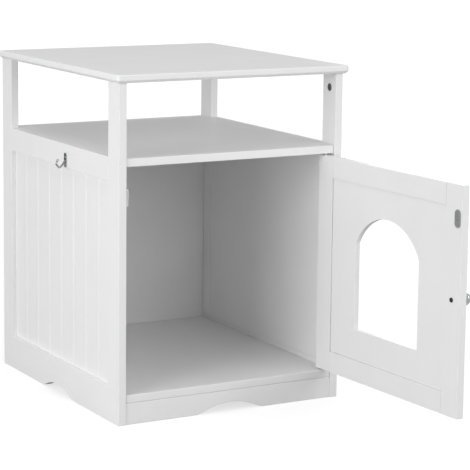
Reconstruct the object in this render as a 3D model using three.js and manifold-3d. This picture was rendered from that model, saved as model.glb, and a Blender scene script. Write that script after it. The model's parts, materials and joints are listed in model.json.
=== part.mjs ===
// Cat litter box cabinet in painted board: a table top on four posts, an open shelf bay,
// and below it a litter compartment behind a framed door with an arched cat entrance.
// Millimetres, +Z up. x runs across the front, y from the front to the back, z = 0 is the ground.

import * as THREE from "three";
import { mergeVertices } from "three/addons/utils/BufferGeometryUtils.js";
import Module from "manifold-3d";

const wasm = await Module();
wasm.setup();

// ---- driving dimensions ----

const BODY_WIDTH = 465; // over the outer faces of the two side frames
const BODY_DEPTH = 530; // front to back of the side frames
const TOTAL_HEIGHT = 638;
const BOARD = 15; // thickness of every frame member and shelf
const GAP = 0.3; // left between pieces that touch

const TOP_OVERHANG_FRONT = 11;
const TOP_OVERHANG_SIDE = 8;
const TOP_CHAMFER = 5; // along the lower edge of the table top
const TOP_CORNER_RADIUS = 6;

const STILE_WIDTH = 45; // also the height of the side frames' upper rails
const BOTTOM_RAIL_TOP = 65;
const GROOVE_DEPTH = 8;
const TONGUE = 7.5; // how far a panel or stub tenon reaches into its groove

const SHELF_TOP = 487;
const SHELF_SETBACK = 3; // front edge behind the front of the posts
const FLOOR_TOP = 55;
const FLOOR_SETBACK = 2;
const BOARD_END_GAP = 1; // shelf and floor ends to the side frames
const REAR_SETBACK = 8; // shelf and floor edges in front of the back of the posts

const BEAD_BOARD = 5; // thickness of the side panels
const BEAD_BOARD_RECESS = 8; // behind the outer face of the frame
const BEAD_PITCH = 55;
const BEADS_EACH_SIDE = 3; // V grooves in front of and behind the middle one
const BEAD_WIDTH = 3;
const BEAD_DEPTH = 1.5;

const SCALLOP_HALF_WIDTH = 75;
const SCALLOP_HEIGHT = 17;
const SCALLOP_END_RADIUS = 40;

const BACK_PANEL = 4;
const BACK_PANEL_FROM_REAR = 11; // back of the posts to the rear face of the panel
const BACK_GROOVE_DEPTH = 6;
const BACK_GROOVE_SLACK = 1.2; // in front of the panel
const BACK_TONGUE = 5.5;

const DOOR_WIDTH = 430;
const DOOR_BOTTOM = 57.5; // above the ground
const DOOR_TOP = 469;
const DOOR_STILE = 45;
const DOOR_RAIL = 40;
const DOOR_OPEN_DEGREES = 93; // from closed to the way it stands here
const DOOR_PIVOT_INSET = 10.2; // pivot axis from the hinge edge
const DOOR_PIVOT_FROM_POST = 13; // pivot axis from the inner face of the right post
const DOOR_PIVOT_SETBACK = 10.9; // pivot axis behind the front of the posts
const DOOR_PANEL = 10;
const DOOR_PANEL_RECESS = 2; // on the inner face
const DOOR_TONGUE_THICKNESS = 5;

const ARCH_WIDTH = 190;
const ARCH_SILL = 98; // above the bottom of the door
const ARCH_SPRING = 260; // where the straight sides end, above the bottom of the door
const ARCH_RISE = 58;

const PIN_RADIUS = 2.8;
const PIN_IN_DOOR = 20;
const PIN_IN_BOARD = 8.5;
const BUSH_RADIUS = 5;
const BUSH_LENGTH = 9;
const BUSH_FLANGE_RADIUS = 6.2;
const BUSH_FLANGE = 1.5;

const KNOB_HEIGHT = 265.5; // above the ground
const KNOB_RADIUS = 13;
const KNOB_LENGTH = 22;
const KNOB_BORE_RADIUS = 2.4;
const KNOB_BORE_DEPTH = 13;

const STRIKE_MIDDLE = 410; // above the ground
const STRIKE_WIDTH = 16;
const STRIKE_HEIGHT = 32;
const STRIKE_THICKNESS = 1.2;
const STRIKE_FROM_EDGE = 11; // middle of the plate from the free edge of the door
const CATCH_MIDDLE = 413.5; // above the ground
const CATCH_HEIGHT = 31;
const CATCH_REACH = 14; // from the inner face of the post
const CATCH_BODY_DEPTH = 9.5;
const CATCH_PLATE_DEPTH = 20;
const CATCH_PLATE = 2.5;
const CATCH_CLEARANCE = 0.5; // to the strike plate of the closed door
const CATCH_SCREW_BACK = 13.7; // catch screws behind its front face
const CATCH_SCREW_SPREAD = 9; // above and below the middle of the catch
const MAGNET_MARGIN = 4; // housing above and below the magnet
const MAGNET_DEPTH = 7;
const MAGNET_WALL = 1.6; // housing on the post's side of the magnet
const MAGNET_END = 4.5; // housing on the far side of it

const HOOK_Y = -38.5;
const HOOK_PLATE_BOTTOM = 443;
const HOOK_PLATE_TOP = 471;
const HOOK_PLATE_WIDTH = 9.5;
const HOOK_PLATE_THICKNESS = 1.8;
const HOOK_WIRE_RADIUS = 1.8;
const HOOK_TIP_RADIUS = 2.4;
const HOOK_SCREW_HEIGHTS = [459.6, 467.4];
// middle of the wire: reach out from the plate, and height above the ground
const HOOK_ROUTE = [
  [-1, 454.6],
  [0.9, 454],
  [3.8, 450.3],
  [7, 446],
  [10.6, 443.7],
  [14.9, 446.9],
  [17.5, 452],
  [14.8, 457.6],
];

const CAM_RADIUS = 7.2;
const CAM_LENGTH = 11.4;
const CAM_SINK = 0.3; // face of the cam below the face of its board
const CAM_POCKET_DEPTH = 12;
const CAM_TO_JOINT = 28; // middle of the cam to the face that the bolt is screwed into
const CAM_SLOT_LENGTH = 8;
const CAM_SLOT_WIDTH = 1.8;
const CAM_SLOT_DEPTH = 2.5;
const SHELF_CAM_Y = 150; // in front of and behind the middle of the shelf and the floor
const BOLT_HEAD_RADIUS = 3.2;
const BOLT_HEAD_BACK = 3; // head past the middle of the cam
const BOLT_BORE_RADIUS = 3.8;
const BOLT_THREAD_RADIUS = 2.5;
const BOLT_THREAD = 9.5;

const KNOB_SCREW = { head: 4.3, height: 2.2, shank: 2, length: 27 };
const STRIKE_SCREW = { head: 3, height: 1.6, shank: 1.5, length: 10, countersunk: true };
const CATCH_SCREW = { head: 2.6, height: 1.5, shank: 1.5, length: 12 };
const HOOK_SCREW = { head: 2.2, height: 1.3, shank: 1.1, length: 11 };

const LARGE_SIDES = 24; // sides of a turned piece that shows
const SMALL_SIDES = 12;
const BUSH_SIDES = 16;

// ---- places worked out from them ----

const RIGHT = BODY_WIDTH / 2; // outer face of the right side frame
const INNER = RIGHT - BOARD; // its inner face
const BACK = BODY_DEPTH / 2;
const FRONT = -BACK;
const TOP_UNDERSIDE = TOTAL_HEIGHT - BOARD;
const SHELF_UNDERSIDE = SHELF_TOP - BOARD;
const FLOOR_UNDERSIDE = FLOOR_TOP - BOARD;
const UPPER_RAIL_BOTTOM = SHELF_TOP - STILE_WIDTH;
const UPPER_TENON_TOP = SHELF_TOP - GROOVE_DEPTH;
const RAIL_END = BACK - STILE_WIDTH; // where a side rail meets its stiles
const PANEL_OUTER = RIGHT - BEAD_BOARD_RECESS; // outer face of the bead board
const PANEL_INNER = PANEL_OUTER - BEAD_BOARD;
const BACK_PANEL_REAR = BACK - BACK_PANEL_FROM_REAR;
const BACK_PANEL_FRONT = BACK_PANEL_REAR - BACK_PANEL;
const PIVOT_X = INNER - DOOR_PIVOT_FROM_POST;
const PIVOT_Y = FRONT + DOOR_PIVOT_SETBACK;

// ---- materials ----

const standard = (color, roughness, metalness = 0) =>
  new THREE.MeshStandardMaterial({ color, roughness, metalness });
const PAINTED_BOARD = standard(0xf1f1f0, 0.38);
const WHITE_PLASTIC = standard(0xeeeeea, 0.45);
const CHROME = standard(0xd8dadc, 0.12, 1);
const STEEL = standard(0x9a9b9b, 0.35, 1);
const ZINC = standard(0x6c6e70, 0.4, 1);
const FERRITE = standard(0x2b2b2d, 0.6);

// ---- solids ----

const X = new THREE.Vector3(1, 0, 0);
const Y = new THREE.Vector3(0, 1, 0);
const Z = new THREE.Vector3(0, 0, 1);
const opposite = (direction) => direction.clone().negate();

function toSolid(geometry) {
  const bare = geometry.clone();
  bare.deleteAttribute("normal");
  bare.deleteAttribute("uv");
  const merged = mergeVertices(bare, 1e-4);
  return new wasm.Manifold(new wasm.Mesh({
    numProp: 3,
    vertProperties: new Float32Array(merged.attributes.position.array),
    triVerts: new Uint32Array(merged.index.array),
  }));
}

function toGeometry(solid) {
  const mesh = solid.getMesh();
  const geometry = new THREE.BufferGeometry();
  geometry.setAttribute("position", new THREE.BufferAttribute(mesh.vertProperties, 3));
  geometry.setIndex(new THREE.BufferAttribute(mesh.triVerts, 1));
  return geometry;
}

const cut = (geometry, ...tools) =>
  toGeometry(tools.reduce((solid, tool) => solid.subtract(toSolid(tool)), toSolid(geometry)));

const join = (...pieces) =>
  toGeometry(pieces.map(toSolid).reduce((whole, piece) => whole.add(piece)));

// A box between two opposite corners, given in either order.
function block(x0, x1, y0, y1, z0, z1) {
  const box = new THREE.BoxGeometry(Math.abs(x1 - x0), Math.abs(y1 - y0), Math.abs(z1 - z0));
  return box.translate((x0 + x1) / 2, (y0 + y1) / 2, (z0 + z1) / 2);
}

const turnedTo = (geometry, right, up, out) =>
  geometry.applyMatrix4(new THREE.Matrix4().makeBasis(right, up, out));

// A flat shape drawn in (y, z), as thick as from x0 to x1.
function acrossX(shape, x0, x1) {
  const plate = new THREE.ExtrudeGeometry(shape, { depth: Math.abs(x1 - x0), bevelEnabled: false });
  return turnedTo(plate, Y, Z, X).translate(Math.min(x0, x1), 0, 0);
}

// A flat shape drawn in (x, z), as thick as from y0 to y1.
function acrossY(shape, y0, y1) {
  const plate = new THREE.ExtrudeGeometry(shape, { depth: Math.abs(y1 - y0), bevelEnabled: false });
  return turnedTo(plate, X, Z, opposite(Y)).translate(0, Math.max(y0, y1), 0);
}

const outline = (points) => new THREE.Shape(points.map(([a, b]) => new THREE.Vector2(a, b)));

// An upright slot shape with round ends.
function roundEnded(middle, bottom, top, width) {
  const radius = width / 2;
  const shape = new THREE.Shape();
  shape.absarc(middle, top - radius, radius, 0, Math.PI);
  shape.absarc(middle, bottom + radius, radius, Math.PI, Math.PI * 2);
  return shape;
}

// A turned piece: `profile` lists [radius, height], standing on `base` along `direction`.
function turned(profile, base, direction, sides = SMALL_SIDES) {
  const points = profile.map(([radius, height]) => new THREE.Vector2(radius, height));
  const turn = new THREE.Quaternion().setFromUnitVectors(Y, direction);
  return new THREE.LatheGeometry(points, sides).applyQuaternion(turn).translate(base.x, base.y, base.z);
}

const rod = (radius, base, direction, from, to, sides) =>
  turned([[0, from], [radius, from], [radius, to], [0, to]], base, direction, sides);

// A screw with the underside of its head at height 0; `clearance` swells it to cut its hole.
function screw(size, base, direction, clearance = 0) {
  const { head, height, shank, length, countersunk } = size;
  const underHead = countersunk ? shank + 0.3 : head;
  const shoulder = height * (countersunk ? 0.85 : 0.4);
  const crown = countersunk ? head : head * 0.7;
  return turned([
    [0, -length - clearance],
    [shank + clearance, -length - clearance],
    [shank + clearance, -clearance],
    [underHead + clearance, -clearance],
    [head + clearance, shoulder],
    [crown + clearance, height + clearance],
    [0, height + clearance],
  ], base, direction);
}

const shankHole = (size, base, direction) =>
  rod(size.shank + GAP, base, direction, -size.length - GAP, size.height);

function add(group, name, geometry, material) {
  const mesh = new THREE.Mesh(geometry, material);
  mesh.name = name;
  group.add(mesh);
}

// ---- cam fittings: a cam in a pocket of one board draws a bolt that is screwed into the next ----

// `centre` is on the face that the cam shows in, `face` points out of that face and `pull`
// towards the joint that the bolt crosses.
function camFittings() {
  const fittings = [];
  for (const [sideName, side] of [["left", -1], ["right", 1]]) {
    const outward = new THREE.Vector3(side, 0, 0);
    for (const [endName, end] of [["front", -1], ["rear", 1]]) {
      const postMiddle = end * (BACK - STILE_WIDTH / 2);
      fittings.push({
        name: `top_${sideName}_${endName}`,
        centre: new THREE.Vector3(side * INNER, postMiddle, TOP_UNDERSIDE - CAM_TO_JOINT),
        face: opposite(outward),
        pull: Z,
      });
      for (const [boardName, underside] of [["shelf", SHELF_UNDERSIDE], ["floor", FLOOR_UNDERSIDE]]) {
        fittings.push({
          name: `${boardName}_${sideName}_${endName}`,
          centre: new THREE.Vector3(side * (INNER - CAM_TO_JOINT), end * SHELF_CAM_Y, underside),
          face: opposite(Z),
          pull: outward,
        });
      }
    }
  }
  return fittings;
}

const FITTINGS = camFittings();
const fittingsNamed = (start) => FITTINGS.filter((fitting) => fitting.name.startsWith(start));
const boltBase = (fitting) => fitting.centre.clone().addScaledVector(fitting.face, -BOARD / 2);

// The cams' pockets and the bolts' bores, cut from the board that holds the cams.
const camCuts = (fittings) => fittings.flatMap((fitting) => [
  rod(CAM_RADIUS + GAP, fitting.centre, fitting.face, -CAM_POCKET_DEPTH, 1, LARGE_SIDES),
  rod(BOLT_BORE_RADIUS, boltBase(fitting), fitting.pull, 0, CAM_TO_JOINT + 2),
]);

// The holes for the bolts' threads, cut from the board that they are screwed into.
const threadCuts = (fittings) => fittings.map((fitting) => rod(
  BOLT_THREAD_RADIUS + GAP, boltBase(fitting), fitting.pull,
  CAM_TO_JOINT - 2, CAM_TO_JOINT + BOLT_THREAD + GAP,
));

function cam(fitting) {
  const { centre, face, pull } = fitting;
  const side = new THREE.Vector3().crossVectors(face, pull);
  const slot = (along, across) => {
    const bar = new THREE.BoxGeometry(CAM_SLOT_LENGTH, CAM_SLOT_WIDTH, CAM_SLOT_DEPTH * 2);
    return turnedTo(bar, along, across, face).translate(centre.x, centre.y, centre.z);
  };
  return cut(
    rod(CAM_RADIUS, centre, face, -CAM_SINK - CAM_LENGTH, -CAM_SINK, LARGE_SIDES),
    rod(BOLT_HEAD_RADIUS + 0.4, boltBase(fitting), pull, -BOLT_HEAD_BACK - 1, CAM_RADIUS + 1),
    slot(pull, side),
    slot(side, opposite(pull)),
  );
}

function camBolt(fitting) {
  const neck = BOLT_HEAD_RADIUS * 0.56;
  const collar = BOLT_THREAD_RADIUS - 0.3;
  const tip = CAM_TO_JOINT + BOLT_THREAD;
  return turned([
    [0, -BOLT_HEAD_BACK],
    [BOLT_HEAD_RADIUS, -BOLT_HEAD_BACK],
    [BOLT_HEAD_RADIUS, 0],
    [neck, 0.6],
    [neck, 3.4],
    [BOLT_HEAD_RADIUS, 4],
    [BOLT_HEAD_RADIUS, CAM_TO_JOINT - 3],
    [collar, CAM_TO_JOINT - 2.5],
    [collar, CAM_TO_JOINT],
    [BOLT_THREAD_RADIUS, CAM_TO_JOINT + 1],
    [BOLT_THREAD_RADIUS, tip - 1.5],
    [BOLT_THREAD_RADIUS / 2, tip],
    [0, tip],
  ], boltBase(fitting), fitting.pull);
}

function addFittings(group) {
  for (const fitting of FITTINGS) {
    add(group, `${fitting.name}_cam`, cam(fitting), ZINC);
    add(group, `${fitting.name}_bolt`, camBolt(fitting), STEEL);
  }
}

// ---- table top: a square upper edge over a chamfered lower one ----

function tableTopShape() {
  const x = RIGHT + TOP_OVERHANG_SIDE;
  const y = FRONT - TOP_OVERHANG_FRONT;
  const corners = [[x, y], [x, BACK], [-x, BACK], [-x, y]];
  const shape = new THREE.Shape();
  corners.forEach(([cornerX, cornerY], i) => {
    const middleX = cornerX - Math.sign(cornerX) * TOP_CORNER_RADIUS;
    const middleY = cornerY - Math.sign(cornerY) * TOP_CORNER_RADIUS;
    const start = (Math.PI / 2) * (i - 1);
    shape.absarc(middleX, middleY, TOP_CORNER_RADIUS, start, start + Math.PI / 2);
  });
  return shape;
}

function addTableTop(group) {
  const shape = tableTopShape();
  const chamferTop = TOP_UNDERSIDE + TOP_CHAMFER;
  const curveSegments = 5;
  const upper = new THREE.ExtrudeGeometry(shape, {
    depth: BOARD - TOP_CHAMFER,
    bevelEnabled: false,
    curveSegments,
  });
  const lower = new THREE.ExtrudeGeometry(shape, {
    depth: 1,
    bevelThickness: TOP_CHAMFER,
    bevelSize: TOP_CHAMFER,
    bevelOffset: -TOP_CHAMFER,
    bevelSegments: 1,
    curveSegments,
  });
  const board = join(upper, lower).translate(0, 0, chamferTop);
  add(group, "table_top", cut(board, ...threadCuts(fittingsNamed("top"))), PAINTED_BOARD);
}

// ---- side frames: two stiles and two rails round a grooved panel ----

// The lower edge of a board, from `start` to `end` at height 0, with a scallop in its middle:
// one large arc that meets a small reverse arc at each end.
function scallopedEdge(start, end) {
  const bothRadii = (SCALLOP_HALF_WIDTH ** 2 + SCALLOP_HEIGHT ** 2) / (2 * SCALLOP_HEIGHT);
  const archRadius = bothRadii - SCALLOP_END_RADIUS;
  const turn = Math.asin(SCALLOP_HALF_WIDTH / bothRadii);
  const endSteps = 3;
  const archSteps = 6;
  const half = [];
  for (let i = 0; i <= endSteps; i++) {
    const angle = (turn * i) / endSteps;
    half.push([
      SCALLOP_HALF_WIDTH - SCALLOP_END_RADIUS * Math.sin(angle),
      SCALLOP_END_RADIUS * (1 - Math.cos(angle)),
    ]);
  }
  for (let i = archSteps - 1; i >= 0; i--) {
    const angle = (turn * i) / archSteps;
    half.push([archRadius * Math.sin(angle), SCALLOP_HEIGHT - archRadius * (1 - Math.cos(angle))]);
  }
  const otherHalf = half.slice(0, -1).reverse();
  return [[start, 0], ...half.map(([along, height]) => [-along, height]), ...otherHalf, [end, 0]];
}

const beadBoardSlot = (side, y0, y1, z0, z1) =>
  block(side * (PANEL_INNER - GAP), side * (PANEL_OUTER + GAP), y0, y1, z0, z1);

function sideStile(sideName, side, endName, end) {
  const edge = end * RAIL_END;
  const tools = [
    beadBoardSlot(side, edge - end, edge + end * GROOVE_DEPTH, GROOVE_DEPTH, UPPER_TENON_TOP + GAP),
    ...camCuts(fittingsNamed(`top_${sideName}_${endName}`)),
  ];
  if (endName === "rear") {
    tools.push(block(side * (INNER - 1), side * (INNER + BACK_GROOVE_DEPTH),
      BACK_PANEL_FRONT - BACK_GROOVE_SLACK, BACK_PANEL_REAR + GAP,
      FLOOR_TOP - BACK_GROOVE_DEPTH, SHELF_UNDERSIDE + BACK_GROOVE_DEPTH));
  } else if (sideName === "left") {
    tools.push(...catchScrewPlaces().map((place) => shankHole(CATCH_SCREW, place, X)));
  }
  return cut(block(side * INNER, side * RIGHT, edge, end * BACK, 0, TOP_UNDERSIDE - GAP), ...tools);
}

// A rail has the bead board's thickness in its stub tenons and a groove for the bead board.
function sideRail(side, shape, tenon, groove, tools) {
  const endTenon = (end) => block(side * PANEL_INNER, side * PANEL_OUTER,
    end * (RAIL_END - TONGUE), end * (RAIL_END + TONGUE), ...tenon);
  const board = acrossX(shape, side * INNER, side * RIGHT);
  const whole = join(board, endTenon(-1), endTenon(1));
  return cut(whole, beadBoardSlot(side, -BACK, BACK, ...groove), ...tools);
}

function upperRail(sideName, side) {
  const end = RAIL_END - GAP;
  const corners = [[-end, UPPER_RAIL_BOTTOM], [end, UPPER_RAIL_BOTTOM], [end, SHELF_TOP], [-end, SHELF_TOP]];
  const hookHoles = hookScrewPlaces().map((place) => shankHole(HOOK_SCREW, place, opposite(X)));
  return sideRail(side, outline(corners),
    [UPPER_RAIL_BOTTOM, UPPER_TENON_TOP],
    [UPPER_RAIL_BOTTOM - 1, UPPER_RAIL_BOTTOM + GROOVE_DEPTH],
    [...threadCuts(fittingsNamed(`shelf_${sideName}`)), ...(side < 0 ? hookHoles : [])]);
}

function bottomRail(sideName, side) {
  const end = RAIL_END - GAP;
  const corners = [...scallopedEdge(-end, end), [end, BOTTOM_RAIL_TOP], [-end, BOTTOM_RAIL_TOP]];
  return sideRail(side, outline(corners),
    [GROOVE_DEPTH + GAP, BOTTOM_RAIL_TOP],
    [BOTTOM_RAIL_TOP - GROOVE_DEPTH, BOTTOM_RAIL_TOP + 1],
    threadCuts(fittingsNamed(`floor_${sideName}`)));
}

// A flat board with upright V grooves in its outer face.
function beadPanel(side) {
  const end = RAIL_END + TONGUE;
  const inner = side * PANEL_INNER;
  const outer = side * PANEL_OUTER;
  const points = [[inner, -end], [outer, -end]];
  for (let i = -BEADS_EACH_SIDE; i <= BEADS_EACH_SIDE; i++) {
    const y = i * BEAD_PITCH;
    points.push([outer, y - BEAD_WIDTH / 2], [outer - side * BEAD_DEPTH, y], [outer, y + BEAD_WIDTH / 2]);
  }
  points.push([outer, end], [inner, end]);
  const bottom = BOTTOM_RAIL_TOP - TONGUE;
  const height = UPPER_RAIL_BOTTOM + TONGUE - bottom;
  const board = new THREE.ExtrudeGeometry(outline(points), { depth: height, bevelEnabled: false });
  return board.translate(0, 0, bottom);
}

function addSideFrame(group, sideName, side) {
  add(group, `${sideName}_front_stile`, sideStile(sideName, side, "front", -1), PAINTED_BOARD);
  add(group, `${sideName}_rear_stile`, sideStile(sideName, side, "rear", 1), PAINTED_BOARD);
  add(group, `${sideName}_upper_rail`, upperRail(sideName, side), PAINTED_BOARD);
  add(group, `${sideName}_bottom_rail`, bottomRail(sideName, side), PAINTED_BOARD);
  add(group, `${sideName}_bead_panel`, beadPanel(side), PAINTED_BOARD);
}

// ---- shelf, floor, toe board and back ----

const pivotPoint = (z) => new THREE.Vector3(PIVOT_X, PIVOT_Y, z);

const backPanelGroove = (z0, z1) =>
  block(-INNER, INNER, BACK_PANEL_FRONT - BACK_GROOVE_SLACK, BACK_PANEL_REAR + GAP, z0, z1);

// A blind hole for a pivot bush, wider at its mouth for the flange.
const bushSeat = (z, direction) => [
  rod(BUSH_RADIUS + GAP, pivotPoint(z), direction, -BUSH_LENGTH - GAP, 1, BUSH_SIDES),
  rod(BUSH_FLANGE_RADIUS + GAP, pivotPoint(z), direction, -BUSH_FLANGE - GAP, 1, BUSH_SIDES),
];

// A board across the cabinet, with a groove for the back panel and a seat for a pivot bush.
function crossBoard(underside, front, grooveFrom, grooveTo, bushFace, bushDirection, fittings) {
  const end = INNER - BOARD_END_GAP;
  return cut(
    block(-end, end, front, BACK - REAR_SETBACK, underside, underside + BOARD),
    backPanelGroove(grooveFrom, grooveTo),
    ...bushSeat(bushFace, bushDirection),
    ...camCuts(fittings),
  );
}

function toeBoard() {
  const end = INNER - GAP;
  const top = FLOOR_UNDERSIDE - GAP;
  const front = FRONT + FLOOR_SETBACK;
  return acrossY(outline([...scallopedEdge(-end, end), [end, top], [-end, top]]), front, front + BOARD);
}

function addBoards(group) {
  const shelf = crossBoard(SHELF_UNDERSIDE, FRONT + SHELF_SETBACK,
    SHELF_UNDERSIDE - 1, SHELF_UNDERSIDE + BACK_GROOVE_DEPTH,
    SHELF_UNDERSIDE, opposite(Z), fittingsNamed("shelf"));
  const floor = crossBoard(FLOOR_UNDERSIDE, FRONT + FLOOR_SETBACK,
    FLOOR_TOP - BACK_GROOVE_DEPTH, FLOOR_TOP + 1,
    FLOOR_TOP, Z, fittingsNamed("floor"));
  const backEnd = INNER + BACK_TONGUE;
  const back = block(-backEnd, backEnd, BACK_PANEL_FRONT, BACK_PANEL_REAR,
    FLOOR_TOP - BACK_TONGUE, SHELF_UNDERSIDE + BACK_TONGUE);
  add(group, "shelf_board", shelf, PAINTED_BOARD);
  add(group, "floor_board", floor, PAINTED_BOARD);
  add(group, "toe_board", toeBoard(), PAINTED_BOARD);
  add(group, "back_panel", back, PAINTED_BOARD);
}

// ---- door, drawn closed: its pivot axis at x = 0, y = 0 and its inner face towards +y ----

const DOOR_INNER = BOARD / 2;
const DOOR_OUTER = -BOARD / 2;
const HINGE_EDGE = DOOR_PIVOT_INSET;
const FREE_EDGE = HINGE_EDGE - DOOR_WIDTH;
const FIELD_RIGHT = HINGE_EDGE - DOOR_STILE; // the field is the space inside the door's frame
const FIELD_LEFT = FREE_EDGE + DOOR_STILE;
const FIELD_BOTTOM = DOOR_BOTTOM + DOOR_RAIL;
const FIELD_TOP = DOOR_TOP - DOOR_RAIL;
const DOOR_TONGUE_HALF = DOOR_TONGUE_THICKNESS / 2;
const STRIKE_FACE = DOOR_INNER + GAP + STRIKE_THICKNESS;
const KNOB_X = FREE_EDGE + DOOR_STILE / 2;
const STRIKE_X = FREE_EDGE + STRIKE_FROM_EDGE;
const KNOB_SCREW_PLACE = new THREE.Vector3(KNOB_X, DOOR_INNER + GAP, KNOB_HEIGHT);
const STRIKE_SCREW_PLACE = new THREE.Vector3(STRIKE_X, STRIKE_FACE - STRIKE_SCREW.height, STRIKE_MIDDLE);

const doorSlot = (x0, x1, z0, z1) =>
  block(x0, x1, -DOOR_TONGUE_HALF - GAP, DOOR_TONGUE_HALF + GAP, z0, z1);

function doorStile(fieldEdge, outerEdge, tools) {
  const out = Math.sign(outerEdge - fieldEdge);
  const board = block(fieldEdge, outerEdge, DOOR_OUTER, DOOR_INNER, DOOR_BOTTOM, DOOR_TOP);
  const groove = doorSlot(fieldEdge - out, fieldEdge + out * GROOVE_DEPTH,
    DOOR_BOTTOM + GROOVE_DEPTH, DOOR_TOP - GROOVE_DEPTH);
  return cut(board, groove, ...tools);
}

function doorRail(fieldEdge, outerEdge) {
  const out = Math.sign(outerEdge - fieldEdge);
  const board = block(FIELD_LEFT + GAP, FIELD_RIGHT - GAP, DOOR_OUTER, DOOR_INNER, fieldEdge, outerEdge);
  const tenons = block(FIELD_LEFT - TONGUE, FIELD_RIGHT + TONGUE,
    -DOOR_TONGUE_HALF, DOOR_TONGUE_HALF, fieldEdge, outerEdge - out * (GROOVE_DEPTH + GAP));
  const groove = doorSlot(FREE_EDGE, HINGE_EDGE, fieldEdge - out, fieldEdge + out * GROOVE_DEPTH);
  return cut(join(board, tenons), groove);
}

function archShape() {
  const middle = (FIELD_LEFT + FIELD_RIGHT) / 2;
  const half = ARCH_WIDTH / 2;
  const radius = (half ** 2 + ARCH_RISE ** 2) / (2 * ARCH_RISE);
  const reach = Math.asin(half / radius);
  const sill = DOOR_BOTTOM + ARCH_SILL;
  const arcMiddle = DOOR_BOTTOM + ARCH_SPRING + ARCH_RISE - radius;
  const shape = new THREE.Shape();
  shape.moveTo(middle - half, sill);
  shape.lineTo(middle + half, sill);
  shape.absarc(middle, arcMiddle, radius, Math.PI / 2 - reach, Math.PI / 2 + reach);
  return shape;
}

function archPanel() {
  const back = DOOR_INNER - DOOR_PANEL_RECESS;
  const tongue = block(FIELD_LEFT - TONGUE, FIELD_RIGHT + TONGUE,
    -DOOR_TONGUE_HALF, DOOR_TONGUE_HALF, FIELD_BOTTOM - TONGUE, FIELD_TOP + TONGUE);
  const field = block(FIELD_LEFT + GAP, FIELD_RIGHT - GAP,
    back - DOOR_PANEL, back, FIELD_BOTTOM + GAP, FIELD_TOP - GAP);
  return cut(join(tongue, field), acrossY(archShape(), DOOR_OUTER, DOOR_INNER));
}

function knob() {
  const base = new THREE.Vector3(KNOB_X, DOOR_OUTER - GAP, KNOB_HEIGHT);
  const body = turned([
    [0, 0],
    [8, 0],
    [8, 1.2],
    [5.5, 3],
    [4.8, 6],
    [6.5, 9],
    [11, 11],
    [KNOB_RADIUS, 13],
    [KNOB_RADIUS - 0.6, 16],
    [10, 19.2],
    [5.5, 21.3],
    [0, KNOB_LENGTH],
  ], base, opposite(Y), LARGE_SIDES);
  return cut(body, rod(KNOB_BORE_RADIUS, base, opposite(Y), -1, KNOB_BORE_DEPTH));
}

function strikePlate() {
  const half = STRIKE_HEIGHT / 2;
  const shape = roundEnded(STRIKE_X, STRIKE_MIDDLE - half, STRIKE_MIDDLE + half, STRIKE_WIDTH);
  const plate = acrossY(shape, DOOR_INNER + GAP, STRIKE_FACE);
  return cut(plate, screw(STRIKE_SCREW, STRIKE_SCREW_PLACE, Y, GAP));
}

function pinHole(z, intoDoor) {
  return rod(PIN_RADIUS + GAP, new THREE.Vector3(0, 0, z), intoDoor, -1, PIN_IN_DOOR + GAP);
}

function addDoor(group) {
  const axis = new THREE.Vector3();
  const hingeStile = doorStile(FIELD_RIGHT, HINGE_EDGE, [pinHole(DOOR_BOTTOM, Z), pinHole(DOOR_TOP, opposite(Z))]);
  const latchStile = doorStile(FIELD_LEFT, FREE_EDGE, [
    shankHole(KNOB_SCREW, KNOB_SCREW_PLACE, Y),
    screw(STRIKE_SCREW, STRIKE_SCREW_PLACE, Y, GAP),
  ]);
  const lowerPin = rod(PIN_RADIUS, axis, Z, FLOOR_TOP - PIN_IN_BOARD, DOOR_BOTTOM + PIN_IN_DOOR);
  const upperPin = rod(PIN_RADIUS, axis, Z, DOOR_TOP - PIN_IN_DOOR, SHELF_UNDERSIDE + PIN_IN_BOARD);
  add(group, "door_hinge_stile", hingeStile, PAINTED_BOARD);
  add(group, "door_latch_stile", latchStile, PAINTED_BOARD);
  add(group, "door_top_rail", doorRail(FIELD_TOP, DOOR_TOP), PAINTED_BOARD);
  add(group, "door_bottom_rail", doorRail(FIELD_BOTTOM, DOOR_BOTTOM), PAINTED_BOARD);
  add(group, "door_arch_panel", archPanel(), PAINTED_BOARD);
  add(group, "knob", knob(), CHROME);
  add(group, "knob_screw", screw(KNOB_SCREW, KNOB_SCREW_PLACE, Y), STEEL);
  add(group, "strike_plate", strikePlate(), STEEL);
  add(group, "strike_screw", screw(STRIKE_SCREW, STRIKE_SCREW_PLACE, Y), STEEL);
  add(group, "lower_pivot_pin", lowerPin, STEEL);
  add(group, "upper_pivot_pin", upperPin, STEEL);
}

// A flanged bush let in flush with the face at `z` that `direction` points out of.
function pivotBush(z, direction) {
  const bore = PIN_RADIUS + GAP;
  return turned([
    [bore, -BUSH_LENGTH],
    [BUSH_RADIUS, -BUSH_LENGTH],
    [BUSH_RADIUS, -BUSH_FLANGE],
    [BUSH_FLANGE_RADIUS, -BUSH_FLANGE],
    [BUSH_FLANGE_RADIUS, 0],
    [bore, 0],
    [bore, -BUSH_LENGTH],
  ], pivotPoint(z), direction, BUSH_SIDES);
}

function addBushes(group) {
  add(group, "lower_pivot_bush", pivotBush(FLOOR_TOP, Z), WHITE_PLASTIC);
  add(group, "upper_pivot_bush", pivotBush(SHELF_UNDERSIDE, opposite(Z)), WHITE_PLASTIC);
}

// ---- magnetic catch on the inner face of the left front post ----

const CATCH_SEAT = -INNER + GAP;
const CATCH_FRONT = PIVOT_Y + STRIKE_FACE + CATCH_CLEARANCE;

function catchScrewPlaces() {
  const x = CATCH_SEAT + CATCH_PLATE + GAP;
  const y = CATCH_FRONT + CATCH_SCREW_BACK;
  return [-1, 1].map((up) => new THREE.Vector3(x, y, CATCH_MIDDLE + up * CATCH_SCREW_SPREAD));
}

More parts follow.
